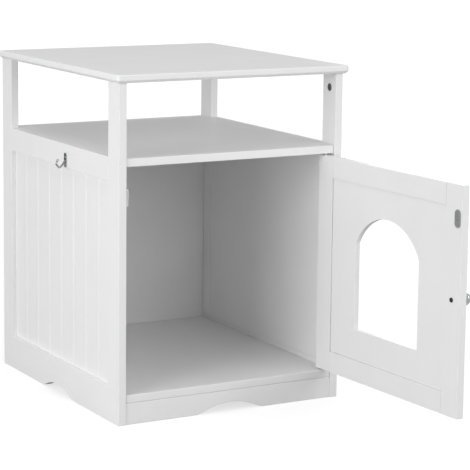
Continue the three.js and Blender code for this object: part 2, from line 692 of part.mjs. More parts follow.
// The magnet; `clearance` swells it to cut its pocket, which is open to the front.
function catchMagnet(clearance) {
  const half = CATCH_HEIGHT / 2 - MAGNET_MARGIN + clearance;
  const near = CATCH_SEAT + CATCH_PLATE + MAGNET_WALL;
  const far = -INNER + CATCH_REACH - MAGNET_END;
  return block(near - clearance, far + clearance,
    CATCH_FRONT - clearance, CATCH_FRONT + MAGNET_DEPTH + clearance,
    CATCH_MIDDLE - half, CATCH_MIDDLE + half);
}

function addCatch(group) {
  const low = CATCH_MIDDLE - CATCH_HEIGHT / 2;
  const high = CATCH_MIDDLE + CATCH_HEIGHT / 2;
  const plate = block(CATCH_SEAT, CATCH_SEAT + CATCH_PLATE,
    CATCH_FRONT, CATCH_FRONT + CATCH_PLATE_DEPTH, low, high);
  const body = block(CATCH_SEAT, -INNER + CATCH_REACH,
    CATCH_FRONT, CATCH_FRONT + CATCH_BODY_DEPTH, low, high);
  const holes = catchScrewPlaces().map((place) => shankHole(CATCH_SCREW, place, X));
  add(group, "catch_housing", cut(join(plate, body), catchMagnet(GAP), ...holes), WHITE_PLASTIC);
  add(group, "catch_magnet", catchMagnet(0), FERRITE);
  catchScrewPlaces().forEach((place, i) => {
    add(group, `catch_screw_${i + 1}`, screw(CATCH_SCREW, place, X), STEEL);
  });
}

// ---- hook for a litter scoop on the left upper rail ----

const HOOK_BACK = -RIGHT - GAP;
const HOOK_FACE = HOOK_BACK - HOOK_PLATE_THICKNESS;

function hookScrewPlaces() {
  return HOOK_SCREW_HEIGHTS.map((z) => new THREE.Vector3(HOOK_FACE - GAP, HOOK_Y, z));
}

function addHook(group) {
  const shape = roundEnded(HOOK_Y, HOOK_PLATE_BOTTOM, HOOK_PLATE_TOP, HOOK_PLATE_WIDTH);
  const plate = acrossX(shape, HOOK_FACE, HOOK_BACK);
  const stops = HOOK_ROUTE.map(([reach, z]) => new THREE.Vector3(HOOK_FACE - reach, HOOK_Y, z));
  const section = new THREE.Shape().absarc(0, 0, HOOK_WIRE_RADIUS, 0, Math.PI * 2);
  const extrudePath = new THREE.CatmullRomCurve3(stops);
  const wire = new THREE.ExtrudeGeometry(section, { steps: 24, curveSegments: 8, extrudePath });
  const tip = stops[stops.length - 1];
  const ball = new THREE.SphereGeometry(HOOK_TIP_RADIUS, 10, 8).translate(tip.x, tip.y, tip.z);
  const holes = hookScrewPlaces().map((place) => shankHole(HOOK_SCREW, place, opposite(X)));
  add(group, "scoop_hook", cut(join(plate, wire, ball), ...holes), CHROME);
  hookScrewPlaces().forEach((place, i) => {
    add(group, `hook_screw_${i + 1}`, screw(HOOK_SCREW, place, opposite(X)), STEEL);
  });
}

// ---- the whole cabinet ----

const cabinet = new THREE.Group();
addTableTop(cabinet);
addSideFrame(cabinet, "left", -1);
addSideFrame(cabinet, "right", 1);
addBoards(cabinet);
addBushes(cabinet);
addCatch(cabinet);
addHook(cabinet);
addFittings(cabinet);

const door = new THREE.Group();
door.position.set(PIVOT_X, PIVOT_Y, 0);
door.rotation.z = THREE.MathUtils.degToRad(DOOR_OPEN_DEGREES);
addDoor(door);
cabinet.add(door);

// The origin is on the ground, in the middle of the box round the cabinet and its open door.
cabinet.updateMatrixWorld(true);
const around = new THREE.Box3().setFromObject(cabinet, true);
cabinet.position.y = -(around.min.y + around.max.y) / 2;

export default cabinet;
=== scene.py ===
"""White painted cat litter box cabinet: eased boards, metal fittings, studio and camera.

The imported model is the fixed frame. Each painted board is a copy of its solid with its edges
eased as a sander leaves them, the bead boards, screws and cam locks are built with Geometry
Nodes, and the knob, hook, catch and strike plate are modelled in mesh code.
"""

import json
import math

import bmesh
import bpy
from mathutils import Matrix, Vector


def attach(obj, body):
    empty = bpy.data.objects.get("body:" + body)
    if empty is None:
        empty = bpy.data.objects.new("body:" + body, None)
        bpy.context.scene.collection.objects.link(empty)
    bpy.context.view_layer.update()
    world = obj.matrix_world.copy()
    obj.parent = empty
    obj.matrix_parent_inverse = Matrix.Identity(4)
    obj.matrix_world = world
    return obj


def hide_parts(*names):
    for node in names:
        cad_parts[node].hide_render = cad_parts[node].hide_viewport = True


bl_info = {
    "name": "Cat litter box cabinet",
    "version": (1, 0, 0),
    "blender": (4, 5, 0),
    "location": "3D View > Sidebar > Cabinet",
    "description": "Dresses a painted litter box cabinet and sets up its studio",
    "category": "Object",
}

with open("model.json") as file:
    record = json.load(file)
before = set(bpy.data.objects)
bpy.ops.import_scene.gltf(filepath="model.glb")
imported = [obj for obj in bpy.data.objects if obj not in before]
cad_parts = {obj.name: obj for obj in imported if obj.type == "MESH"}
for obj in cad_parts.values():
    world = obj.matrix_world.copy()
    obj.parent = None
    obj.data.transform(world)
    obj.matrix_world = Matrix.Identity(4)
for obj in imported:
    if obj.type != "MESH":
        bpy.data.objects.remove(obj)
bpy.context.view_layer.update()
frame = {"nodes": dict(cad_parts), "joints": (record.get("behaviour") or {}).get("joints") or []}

MM = 0.001
TIGHT = 1e-5  # two places closer than this are the same
X_AXIS, Y_AXIS, Z_AXIS = 0, 1, 2
GAP = 0.3 * MM  # between pieces that touch
TENON_REACH = 7.5 * MM + GAP  # how far a tongue or stub tenon stands out past its board

# The door's own pieces are worked out with the door closed and its pivot axis at x = 0, y = 0.
HINGE = frame["joints"][0]
PIVOT = Vector((HINGE["pos_m"][0], HINGE["pos_m"][1], 0))
STANDS_OPEN = math.radians(-HINGE["range_deg"][0])
IN_PLACE = Matrix.Identity(4)
DOOR_PLACE = Matrix.Translation(PIVOT) @ Matrix.Rotation(STANDS_OPEN, 4, "Z")


# ---- small helpers ----


def linear(hex_colour):
    """An sRGB hex colour as a linear RGBA value."""
    channels = [int(hex_colour[i : i + 2], 16) / 255 for i in (1, 3, 5)]
    rgb = [c / 12.92 if c <= 0.04045 else ((c + 0.055) / 1.055) ** 2.4 for c in channels]
    return (*rgb, 1)


def settings():
    """What the panel sets."""
    return bpy.context.scene.cabinet


def corners(node, place=IN_PLACE):
    """Lowest and highest corner of a node, in the closed door's own space if place says so."""
    back = place.inverted()
    points = [back @ v.co for v in frame["nodes"][node].data.vertices]
    low = Vector([min(p[i] for p in points) for i in range(3)])
    high = Vector([max(p[i] for p in points) for i in range(3)])
    return low, high


def add_node(tree, kind, inputs=None, **values):
    """Adds a node, sets its properties, and sets or links its inputs."""
    node = tree.nodes.new(kind)
    for name, value in values.items():
        setattr(node, name, value)
    for name, value in (inputs or {}).items():
        if isinstance(value, bpy.types.NodeSocket):
            tree.links.new(value, node.inputs[name])
        else:
            node.inputs[name].default_value = value
    return node


def link_object(name, mesh):
    """A new object in the scene."""
    piece = bpy.data.objects.new(name, mesh)
    bpy.context.scene.collection.objects.link(piece)
    return piece


def made_plain(piece):
    """Turns a piece with its modifiers into a plain mesh."""
    view = bpy.context.evaluated_depsgraph_get()
    mesh = bpy.data.meshes.new_from_object(piece.evaluated_get(view), depsgraph=view)
    piece.modifiers.clear()
    piece.data = mesh
    mesh.name = piece.name
    return piece


def smooth_curves(piece, angle=35):
    """Shades round stretches smooth and keeps flat faces flat."""
    mesh = piece.data
    mesh.shade_smooth()
    mesh.set_sharp_from_angle(angle=math.radians(angle))
    weighted = piece.modifiers.new("Flat faces stay flat", "WEIGHTED_NORMAL")
    weighted.keep_sharp = True
    return made_plain(piece)


def mesh_from(bm, name):
    """Ends a bmesh as a mesh."""
    mesh = bpy.data.meshes.new(name)
    bm.to_mesh(mesh)
    bm.free()
    return mesh


def piece_from(bm, name, place=IN_PLACE):
    """Ends a bmesh as a smooth-shaded piece, put where place says."""
    bmesh.ops.transform(bm, matrix=place, verts=bm.verts)
    return smooth_curves(link_object(name, mesh_from(bm, name)))


def dress(piece, material, body, slot, *nodes):
    """Gives a piece its material and body, and hides the nodes that it stands for."""
    piece.data.materials.clear()
    piece.data.materials.append(material)
    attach(piece, body)
    if nodes:
        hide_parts(*nodes)
    return piece


def finish_node(node, material):
    """Gives a node that stays as it is its material."""
    mesh = frame["nodes"][node].data
    mesh.materials.clear()
    mesh.materials.append(material)


def turned(profile, segments=48):
    """A closed mesh turned about Z; profile lists (radius, height) from axis to axis, in metres."""
    bm = bmesh.new()
    line = [bm.verts.new((radius, 0, height)) for radius, height in profile]
    edges = [bm.edges.new(pair) for pair in zip(line, line[1:])]
    bmesh.ops.spin(
        bm,
        geom=line + edges,
        axis=(0, 0, 1),
        cent=(0, 0, 0),
        angle=2 * math.pi,
        steps=segments,
        use_merge=True,
        use_normal_flip=True,
    )
    bmesh.ops.remove_doubles(bm, verts=bm.verts, dist=TIGHT / 10)
    bmesh.ops.recalc_face_normals(bm, faces=bm.faces)
    return bm


def rounded_corner(points, radius, steps=4):
    """A closed outline with each corner rounded; points are 2D, in order."""
    result = []
    count = len(points)
    for i, point in enumerate(points):
        here = Vector(point)
        before = (Vector(points[i - 1]) - here).normalized()
        after = (Vector(points[(i + 1) % count]) - here).normalized()
        half = before.angle(after) / 2
        middle_point = here + (before + after).normalized() * radius / math.sin(half)
        start = here + before * radius / math.tan(half) - middle_point
        end = here + after * radius / math.tan(half) - middle_point
        for step in range(steps + 1):
            share = step / steps
            direction = start.lerp(end, share).normalized()
            result.append(middle_point + direction * radius)
    return result


def round_ended(half_width, low, high):
    """The outline of an upright plate with round ends."""
    sliver = 0.1 * MM  # left straight, so that no edge has a length of zero
    square = [(-half_width, low), (half_width, low), (half_width, high), (-half_width, high)]
    return rounded_corner(square, half_width - sliver, 10)


def round_off(bm, edges, ease, segments=2):
    """Rounds edges off, back to `ease` metres from where they were."""
    bmesh.ops.bevel(bm, geom=edges, offset=ease, segments=segments, profile=0.5, affect="EDGES")


def prism(outline, thickness, ease, steps=2):
    """A plate drawn in XY and standing up along Z, with both its rims eased."""
    bm = bmesh.new()
    bottom = bm.faces.new([bm.verts.new((p[0], p[1], 0)) for p in outline])
    raised = bmesh.ops.extrude_face_region(bm, geom=[bottom])["geom"]
    top_verts = [item for item in raised if isinstance(item, bmesh.types.BMVert)]
    bmesh.ops.translate(bm, vec=(0, 0, thickness), verts=top_verts)
    bmesh.ops.recalc_face_normals(bm, faces=bm.faces)
    rims = [e for e in bm.edges if abs(e.verts[0].co.z - e.verts[1].co.z) < TIGHT]
    round_off(bm, rims, ease, steps)
    return bm


def combine(piece, other, operation):
    """Cuts the other object out of the piece or welds it on, and removes it."""
    boolean = piece.modifiers.new("Combine", "BOOLEAN")
    boolean.operation = operation
    boolean.solver = "EXACT"
    boolean.object = other
    made_plain(piece)
    bpy.data.objects.remove(other)


# ---- materials ----


def new_material(name):
    """A material, its node tree and its shader."""
    material = bpy.data.materials.new(name)
    material.use_nodes = True
    tree = material.node_tree
    return material, tree, tree.nodes["Principled BSDF"]


def object_place(tree, scale=(1, 1, 1)):
    """Object coordinates, stretched by scale."""
    coordinates = add_node(tree, "ShaderNodeTexCoord").outputs["Object"]
    inputs = {"Vector": coordinates, "Scale": scale}
    return add_node(tree, "ShaderNodeMapping", inputs).outputs["Vector"]


def noise(tree, place, feature, detail=3.0):
    """Noise whose features are about `feature` metres across."""
    inputs = {"Vector": place, "Scale": 1 / feature, "Detail": detail}
    return add_node(tree, "ShaderNodeTexNoise", inputs).outputs["Fac"]


def bump(tree, height, distance, strength, under=None):
    """Relief `distance` high, laid over another one where `under` is given."""
    inputs = {"Height": height, "Distance": distance, "Strength": strength}
    if under:
        inputs["Normal"] = under
    return add_node(tree, "ShaderNodeBump", inputs).outputs["Normal"]


def blended(tree, factor, first, second):
    """Mixes two colours by a factor."""
    mix = add_node(tree, "ShaderNodeMix", data_type="RGBA")
    tree.links.new(factor, mix.inputs["Factor"])
    mix.inputs["A"].default_value = first
    mix.inputs["B"].default_value = second
    return mix.outputs["Result"]


NOISE_LOW, NOISE_HIGH = 0.3, 0.7  # nearly all of a noise lies between these


def remapped(tree, value, low, high, start=NOISE_LOW, end=NOISE_HIGH):
    """Spreads what lies between start and end over low to high."""
    inputs = {"Value": value, "From Min": start, "From Max": end, "To Min": low, "To Max": high}
    return add_node(tree, "ShaderNodeMapRange", inputs).outputs["Result"]


# the paint film, each figure at its real size across
TONE_PATCH = 90 * MM  # slight unevenness of the white
SHEEN_PATCH = 40 * MM  # slight unevenness of the gloss
SHEEN_SPREAD = 0.01
ORANGE_PEEL = 3 * MM
GRAIN_LENGTH, GRAIN_WIDTH = 120 * MM, 2.2 * MM
FILM_RELIEF = 0.012 * MM  # height of the peel and of the grain that shows through
FILM_RELIEF_STRENGTH = 0.3


def painted(name, grain_axis=None):
    """Semi-gloss white lacquer over board, sprayed.

    The film levels out to a fine orange peel that softens reflections, and the paint is very
    slightly uneven in tone. Over solid wood the grain still tells as long shallow ridges.
    """
    material, tree, shader = new_material(name)
    chosen = settings()
    plain = object_place(tree)
    tone = noise(tree, plain, TONE_PATCH, 2.0)
    peel = noise(tree, plain, ORANGE_PEEL, 1.0)
    low, high = linear(chosen.paint_shade), linear(chosen.paint_white)
    tree.links.new(blended(tree, tone, low, high), shader.inputs["Base Color"])
    gloss = chosen.paint_roughness
    sheen = noise(tree, plain, SHEEN_PATCH)
    rough = remapped(tree, sheen, gloss - SHEEN_SPREAD, gloss + SHEEN_SPREAD)
    tree.links.new(rough, shader.inputs["Roughness"])
    relief = bump(tree, peel, FILM_RELIEF, FILM_RELIEF_STRENGTH)
    if grain_axis is not None:
        scale = [1 / GRAIN_WIDTH] * 3
        scale[grain_axis] = 1 / GRAIN_LENGTH
        place = object_place(tree, scale)
        inputs = {"Vector": place, "Scale": 1.0, "Detail": 4.0, "Roughness": 0.6}
        figure = add_node(tree, "ShaderNodeTexNoise", inputs).outputs["Fac"]
        relief = bump(tree, figure, FILM_RELIEF, FILM_RELIEF_STRENGTH, relief)
    tree.links.new(relief, shader.inputs["Normal"])
    shader.inputs["IOR"].default_value = 1.5
    shader.inputs["Specular IOR Level"].default_value = 0.15
    return material


def chrome_plate(name, dull, bright):
    """Chrome plating: a mirror, softened a little by polishing swirls."""
    material, tree, shader = new_material(name)
    place = object_place(tree)
    colour = blended(tree, noise(tree, place, 6 * MM), linear(dull), linear(bright))
    tree.links.new(colour, shader.inputs["Base Color"])
    rough = remapped(tree, noise(tree, place, 2 * MM), 0.1, 0.18)
    tree.links.new(rough, shader.inputs["Roughness"])
    shader.inputs["Metallic"].default_value = 1
    return material


def uneven(name, feature, tones, rough=None, relief=None, scale=(1, 1, 1), constants=None):
    """A material whose tone, roughness and relief all follow one noise, `feature` metres across.

    tones and rough give the values at the noise's two ends, and relief the height and strength
    of the bump. The constants go straight to the shader's sockets.
    """
    material, tree, shader = new_material(name)
    figure = noise(tree, object_place(tree, scale), feature)
    dull, bright = (linear(tone) for tone in tones)
    tree.links.new(blended(tree, figure, dull, bright), shader.inputs["Base Color"])
    if rough:
        tree.links.new(remapped(tree, figure, *rough), shader.inputs["Roughness"])
    if relief:
        tree.links.new(bump(tree, figure, *relief), shader.inputs["Normal"])
    for socket, value in (constants or {}).items():
        shader.inputs[socket].default_value = value
    return material


MATERIALS = {}


def make_materials():
    """Makes every material once."""
    MATERIALS.update(
        upright=painted("Painted solid wood, upright grain", Z_AXIS),
        across=painted("Painted solid wood, grain across", X_AXIS),
        deep=painted("Painted solid wood, grain front to back", Y_AXIS),
        board=painted("Painted fibreboard"),
        # one plating in two tones: the hook's is darkened as a painted dark reflection, the knob's
        # lightened as a painted bright reflection
        chrome=chrome_plate("Chrome plate on bent steel wire", "#a3a6a9", "#bcbfc1"),
        bright_chrome=chrome_plate("Chrome plate on a turned knob", "#cfd2d4", "#e6e8e9"),
        # stamped and zinc plated: a grey metal with a fine brushed haze
        steel=uneven(
            "Zinc-plated steel",
            0.6 * MM,
            ("#a9abad", "#cdcfd0"),
            rough=(0.28, 0.42),
            relief=(0.02 * MM, 0.4),
            scale=(1, 1, 0.08),
            constants={"Metallic": 1},
        ),
        # hardened screw steel, coloured dark grey: a little oily, not quite even
        black_steel=uneven(
            "Black phosphated steel",
            1.2 * MM,
            ("#2c2c2e", "#47474a"),
            rough=(0.32, 0.5),
            constants={"Metallic": 0.85},
        ),
        # die-cast zinc, coloured a dull dark grey, with a faint cast grain
        zinc=uneven(
            "Die-cast zinc",
            0.7 * MM,
            ("#5f6062", "#8c8e91"),
            rough=(0.38, 0.55),
            relief=(0.04 * MM, 0.5),
            constants={"Metallic": 0.9},
        ),
        # injection moulded: milky white with a fine moulded texture
        nylon=uneven(
            "Moulded white nylon",
            0.8 * MM,
            ("#e6e6e2", "#f0f0ec"),
            rough=(0.4, 0.5),
            relief=(0.03 * MM, 0.5),
            constants={"Subsurface Weight": 0.1, "Subsurface Radius": (2 * MM, 2 * MM, 2 * MM)},
        ),
        # a ground magnet: charcoal grey and chalky
        ferrite=uneven(
            "Sintered ferrite",
            0.5 * MM,
            ("#232325", "#38383b"),
            relief=(0.05 * MM, 0.6),
            constants={"Roughness": 0.62},
        ),
    )


# ---- painted boards: copies of the solids with eased edges ----


def merged_copy(node, place):
    """The node's solid as clean flat faces, in the closed door's own space if place says so."""
    bm = bmesh.new()
    bm.from_mesh(frame["nodes"][node].data)
    bmesh.ops.transform(bm, matrix=place.inverted(), verts=bm.verts)
    bmesh.ops.remove_doubles(bm, verts=bm.verts, dist=TIGHT / 10)
    bmesh.ops.dissolve_limit(
        bm, angle_limit=math.radians(0.5), verts=bm.verts, edges=bm.edges, delimit=set()
    )
    return bm


SANDED_ANGLE = math.radians(30)  # edges flatter than this are left as they are
SHORTEST_RIM_EDGE = 3 * MM  # a curved rim's shorter edges are the ends of its bends
TOP_SANDED_ANGLE = math.radians(25)  # the same for the table top, whose chamfer is flatter
SHORTEST_CHAMFER_EDGE = 0.4 * MM


def faces_of(vert, low, high):
    """Which faces of the board's box a corner lies on."""
    return {
        (axis, side)
        for axis in range(3)
        for side, bound in (("low", low), ("high", high))
        if abs(vert.co[axis] - bound[axis]) < TIGHT
    }


def outer_edges(bm, low, high, thin, curved):
    """The edges that a sander reaches: the box's own, and a curved rim's where there is one."""
    edges = []
    for edge in bm.edges:
        if len(edge.link_faces) != 2 or not edge.is_convex:
            continue
        if edge.calc_face_angle() < SANDED_ANGLE:
            continue
        shared = faces_of(edge.verts[0], low, high) & faces_of(edge.verts[1], low, high)
        on_thin_face = any(axis == thin for axis, _ in shared)
        on_rim = curved and on_thin_face and edge.calc_length() > SHORTEST_RIM_EDGE
        if len(shared) > 1 or on_rim:
            edges.append(edge)
    return edges


def eased_board(node, body, thin, material, ease, tongues=(), curved=False):
    """A board's copy with eased edges. `tongues` are the axes along which tongues stand out."""
    place = DOOR_PLACE if body == "door" else IN_PLACE
    low, high = corners(node, place)
    for axis in tongues:
        low[axis] += TENON_REACH
        high[axis] -= TENON_REACH
    bm = merged_copy(node, place)
    round_off(bm, outer_edges(bm, low, high, thin, curved), ease)
    piece = piece_from(bm, f"eased_{node}", place)
    return dress(piece, MATERIALS[material], body, "painted_board", node)


class CABINET_OT_side_frames(bpy.types.Operator):
    """Eases the edges of both side frames' stiles and rails"""

    bl_idname = "cabinet.side_frames"
    bl_label = "Side frames"

    def execute(self, context):
        ease = context.scene.cabinet.frame_ease
        for side in ("left", "right"):
            for end in ("front", "rear"):
                eased_board(f"{side}_{end}_stile", "carcass", X_AXIS, "upright", ease)
            eased_board(f"{side}_upper_rail", "carcass", X_AXIS, "deep", ease, (Y_AXIS,))
            eased_board(
                f"{side}_bottom_rail", "carcass", X_AXIS, "deep", ease, (Y_AXIS,), curved=True
            )
        return {"FINISHED"}


class CABINET_OT_shelves(bpy.types.Operator):
    """Eases the edges of the shelf, the floor and the toe board, and finishes the back panel"""

    bl_idname = "cabinet.shelves"
    bl_label = "Shelf, floor, toe board and back"

    def execute(self, context):
        ease = context.scene.cabinet.board_ease
        eased_board("shelf_board", "carcass", Z_AXIS, "board", ease)
        eased_board("floor_board", "carcass", Z_AXIS, "board", ease)
        eased_board("toe_board", "carcass", Y_AXIS, "across", ease, curved=True)
        finish_node("back_panel", MATERIALS["board"])
        return {"FINISHED"}


class CABINET_OT_table_top(bpy.types.Operator):
    """Rounds the table top's upper edge and eases the two edges of its chamfer"""

    bl_idname = "cabinet.table_top"
    bl_label = "Table top"

    def execute(self, context):
        chosen = context.scene.cabinet
        bm = merged_copy("table_top", IN_PLACE)
        top = corners("table_top")[1].z
        rim, chamfer = [], []
        for edge in bm.edges:
            if len(edge.link_faces) != 2 or edge.calc_face_angle() < TOP_SANDED_ANGLE:
                continue
            heights = [vert.co.z for vert in edge.verts]
            if abs(heights[0] - heights[1]) >= TIGHT:
                continue
            if abs(heights[0] - top) < TIGHT:
                rim.append(edge)
            elif edge.is_convex and edge.calc_length() > SHORTEST_CHAMFER_EDGE:
                chamfer.append(edge)
        round_off(bm, chamfer, chosen.frame_ease)
        round_off(bm, [edge for edge in rim if edge.is_valid], chosen.top_ease, 4)
        piece = piece_from(bm, "eased_table_top")
        dress(piece, MATERIALS["board"], "carcass", "painted_board", "table_top")
        return {"FINISHED"}


class CABINET_OT_door(bpy.types.Operator):
    """Eases the edges of the door's stiles, rails and arched panel"""

    bl_idname = "cabinet.door"
    bl_label = "Door"

    def execute(self, context):
        ease = context.scene.cabinet.frame_ease
        for node in ("door_hinge_stile", "door_latch_stile"):
            eased_board(node, "door", Y_AXIS, "upright", ease)
        for node in ("door_top_rail", "door_bottom_rail"):
            eased_board(node, "door", Y_AXIS, "deep", ease, (X_AXIS,))
        eased_board("door_arch_panel", "door", Y_AXIS, "board", ease, (X_AXIS, Z_AXIS), curved=True)
        for node in ("lower_pivot_pin", "upper_pivot_pin"):
            finish_node(node, MATERIALS["steel"])
        for node in ("lower_pivot_bush", "upper_pivot_bush"):
            finish_node(node, MATERIALS["nylon"])
        return {"FINISHED"}


# ---- Geometry Nodes ----


def new_tree(name, inputs):
    """A Geometry Nodes tree with a geometry input and output and the named inputs."""
    tree = bpy.data.node_groups.new(name, "GeometryNodeTree")
    tree.interface.new_socket("Geometry", in_out="INPUT", socket_type="NodeSocketGeometry")
    tree.interface.new_socket("Geometry", in_out="OUTPUT", socket_type="NodeSocketGeometry")
    for label, kind in inputs.items():
        tree.interface.new_socket(label, in_out="INPUT", socket_type=kind)
    group_in = add_node(tree, "NodeGroupInput")
    group_out = add_node(tree, "NodeGroupOutput")
    return tree, group_in.outputs, group_out


def maths(tree, operation, first, second=0.0):
    """One sum on two values."""
    node = add_node(tree, "ShaderNodeMath", {0: first, 1: second}, operation=operation)
    return node.outputs[0]


def end_tree(tree, geometry, material, out):
    """Makes the geometry real, gives it its material and ends the tree."""
    real = add_node(tree, "GeometryNodeRealizeInstances", {"Geometry": geometry})
    inputs = {"Geometry": real.outputs[0], "Material": material}
    coloured = add_node(tree, "GeometryNodeSetMaterial", inputs)
    tree.links.new(coloured.outputs[0], out.inputs[0])
    return tree


def grow(piece, tree, values):
    """Runs a tree on a piece with the given inputs and leaves a plain mesh."""
    modifier = piece.modifiers.new(tree.name, "NODES")
    modifier.node_group = tree
    for item in tree.interface.items_tree:
        if item.in_out == "INPUT" and item.name in values:
            modifier[item.identifier] = values[item.name]
    return made_plain(piece)


def bead_board_tree():
    """A board standing up from the ground plane, its outer face at +X cut by upright V grooves.

    The section is one closed line of points: the two ends of the outer face, three points for
    each groove between them, and two for the inner face. It is filled and pulled up.
    """
    sizes = ("Length", "Height", "Thickness", "Pitch", "Groove width", "Groove depth")
    inputs = dict.fromkeys(sizes, "NodeSocketFloat")
    inputs.update({"Grooves": "NodeSocketInt", "Material": "NodeSocketMaterial"})
    tree, given, out = new_tree("Bead board", inputs)
    groove_points = maths(tree, "MULTIPLY", given["Grooves"], 3.0)
    total = maths(tree, "ADD", groove_points, 4.0)
    index = add_node(tree, "GeometryNodeInputIndex").outputs[0]
    step = maths(tree, "SUBTRACT", index, 1.0)
    groove = maths(tree, "FLOOR", maths(tree, "DIVIDE", step, 3.0))
    within = maths(tree, "SUBTRACT", step, maths(tree, "MULTIPLY", groove, 3.0))
    middle_groove = maths(tree, "DIVIDE", maths(tree, "SUBTRACT", given["Grooves"], 1.0), 2.0)
    centre = maths(tree, "MULTIPLY", maths(tree, "SUBTRACT", groove, middle_groove), given["Pitch"])
    half_width = maths(tree, "DIVIDE", given["Groove width"], 2.0)
    aside = maths(tree, "MULTIPLY", maths(tree, "SUBTRACT", within, 1.0), half_width)
    groove_y = maths(tree, "ADD", centre, aside)
    is_bottom = maths(tree, "COMPARE", within, 1.0)
    cut = maths(tree, "MULTIPLY", is_bottom, given["Groove depth"])
    groove_x = maths(tree, "SUBTRACT", given["Thickness"], cut)
    half_length = maths(tree, "DIVIDE", given["Length"], 2.0)
    is_first = maths(tree, "LESS_THAN", index, 0.5)
    is_inner = maths(tree, "GREATER_THAN", index, maths(tree, "ADD", groove_points, 1.5))
    is_last = maths(tree, "GREATER_THAN", index, maths(tree, "ADD", groove_points, 2.5))
    is_far_end = maths(tree, "GREATER_THAN", index, maths(tree, "ADD", groove_points, 0.5))

    def chosen_by(test, yes, no):
        inputs = {"Switch": test, "True": yes, "False": no}
        return add_node(tree, "GeometryNodeSwitch", inputs, input_type="FLOAT").outputs["Output"]

    near = maths(tree, "MULTIPLY", half_length, -1.0)
    outer_y = chosen_by(is_first, near, groove_y)
    at_y = chosen_by(is_last, near, chosen_by(is_far_end, half_length, outer_y))
    outer_x = chosen_by(is_first, given["Thickness"], groove_x)
    flat_x = chosen_by(is_far_end, given["Thickness"], outer_x)
    at_x = chosen_by(is_inner, 0.0, flat_x)
    place = add_node(tree, "ShaderNodeCombineXYZ", {"X": at_x, "Y": at_y})
    points = add_node(tree, "GeometryNodePoints", {"Count": total, "Position": place.outputs[0]})
    line = add_node(tree, "GeometryNodePointsToCurves", {"Points": points.outputs[0]})
    inputs = {"Geometry": line.outputs[0], "Cyclic": True}
    closed = add_node(tree, "GeometryNodeSetSplineCyclic", inputs)
    section = add_node(tree, "GeometryNodeFillCurve", {"Curve": closed.outputs[0]}, mode="NGONS")
    up = add_node(tree, "ShaderNodeCombineXYZ", {"Z": given["Height"]})
    inputs = {"Mesh": section.outputs[0], "Offset": up.outputs[0], "Individual": False}
    pulled = add_node(tree, "GeometryNodeExtrudeMesh", inputs, mode="FACES")
    under = add_node(tree, "GeometryNodeFlipFaces", {"Mesh": section.outputs[0]})
    both = add_node(tree, "GeometryNodeJoinGeometry")
    tree.links.new(pulled.outputs["Mesh"], both.inputs[0])
    tree.links.new(under.outputs[0], both.inputs[0])
    inputs = {"Geometry": both.outputs[0], "Distance": TIGHT}
    whole = add_node(tree, "GeometryNodeMergeByDistance", inputs)
    return end_tree(tree, whole.outputs[0], given["Material"], out)


def fastener_tree():
    """One fastener on each point, its head turned to the point's `facing` direction."""
    tree, given, out = new_tree(
        "Fasteners", {"Fastener": "NodeSocketObject", "Material": "NodeSocketMaterial"}
    )
    shape = add_node(tree, "GeometryNodeObjectInfo", {"Object": given["Fastener"]})
    facing = add_node(
        tree, "GeometryNodeInputNamedAttribute", {"Name": "facing"}, data_type="FLOAT_VECTOR"
    )
    turn = add_node(
        tree, "FunctionNodeAlignRotationToVector", {"Vector": facing.outputs[0]}, axis="Z"
    )
    inputs = {
        "Points": given["Geometry"],
        "Instance": shape.outputs["Geometry"],
        "Rotation": turn.outputs[0],
    }
    placed = add_node(tree, "GeometryNodeInstanceOnPoints", inputs)
    return end_tree(tree, placed.outputs[0], given["Material"], out)


class CABINET_OT_bead_boards(bpy.types.Operator):
    """Makes both side panels as boards with upright V grooves"""

    bl_idname = "cabinet.bead_boards"
    bl_label = "Bead board panels"

    def execute(self, context):
        chosen = context.scene.cabinet
        tree = bead_board_tree()
        for side, turn in (("left", math.pi), ("right", 0)):
            node = f"{side}_bead_panel"
            low, high = corners(node)
            piece = link_object(f"beaded_{side}_panel", bpy.data.meshes.new(node))
            sizes = {
                "Length": high.y - low.y,
                "Height": high.z - low.z,
                "Thickness": high.x - low.x,
                "Pitch": chosen.bead_pitch,
                "Grooves": chosen.bead_count,
                "Groove width": chosen.bead_width,
                "Groove depth": chosen.bead_depth,
            }
            grow(piece, tree, {**sizes, "Material": MATERIALS["board"]})
            inner_x = high.x if side == "left" else low.x
            place = Matrix.Translation((inner_x, (low.y + high.y) / 2, low.z))
            piece.data.transform(place @ Matrix.Rotation(turn, 4, "Z"))
            smooth_curves(piece, 20)
            dress(piece, MATERIALS["board"], "carcass", "painted_board", node)
        return {"FINISHED"}


# ---- screws and cam locks ----


RECESS_TAPER = 0.4  # length of a driver recess at its bottom, as a share of that at its mouth


def with_recess(piece, top, width, length, depth):
    """Cuts a cross recess into a head whose top is at the height `top`."""
    for turn in (0, math.pi / 2):
        bm = bmesh.new()
        arm = bmesh.ops.create_cube(bm, size=1)["verts"]
        bmesh.ops.scale(bm, vec=(length, width, depth * 2), verts=arm)
        for vert in arm:
            if vert.co.z < 0:
                vert.co.x *= RECESS_TAPER
        bmesh.ops.rotate(bm, matrix=Matrix.Rotation(turn, 3, "Z"), verts=arm)
        bmesh.ops.translate(bm, vec=(0, 0, top), verts=arm)
        tool = link_object("driver_recess", mesh_from(bm, "driver_recess"))
        combine(piece, tool, "DIFFERENCE")
    return piece


def pan_screw(name, head, height, shank, length):
    """A pan-head screw standing on z = 0, its head above and its shank below."""
    dome = [
        (head * math.sin(a), height * (0.35 + 0.65 * math.cos(a)))
        for a in (math.radians(angle) for angle in (90, 70, 50, 34, 20, 9))
    ]
    profile = [(0, -length), (shank * 0.4, -length), (shank, -length + 2 * shank), (shank, 0)]
    profile += [(head * 0.97, 0), (head, height * 0.12), *dome, (0, height)]
    piece = piece_from(turned(profile, 32), name)
    return with_recess(piece, height, head * 0.26, head * 1.25, height * 0.8)


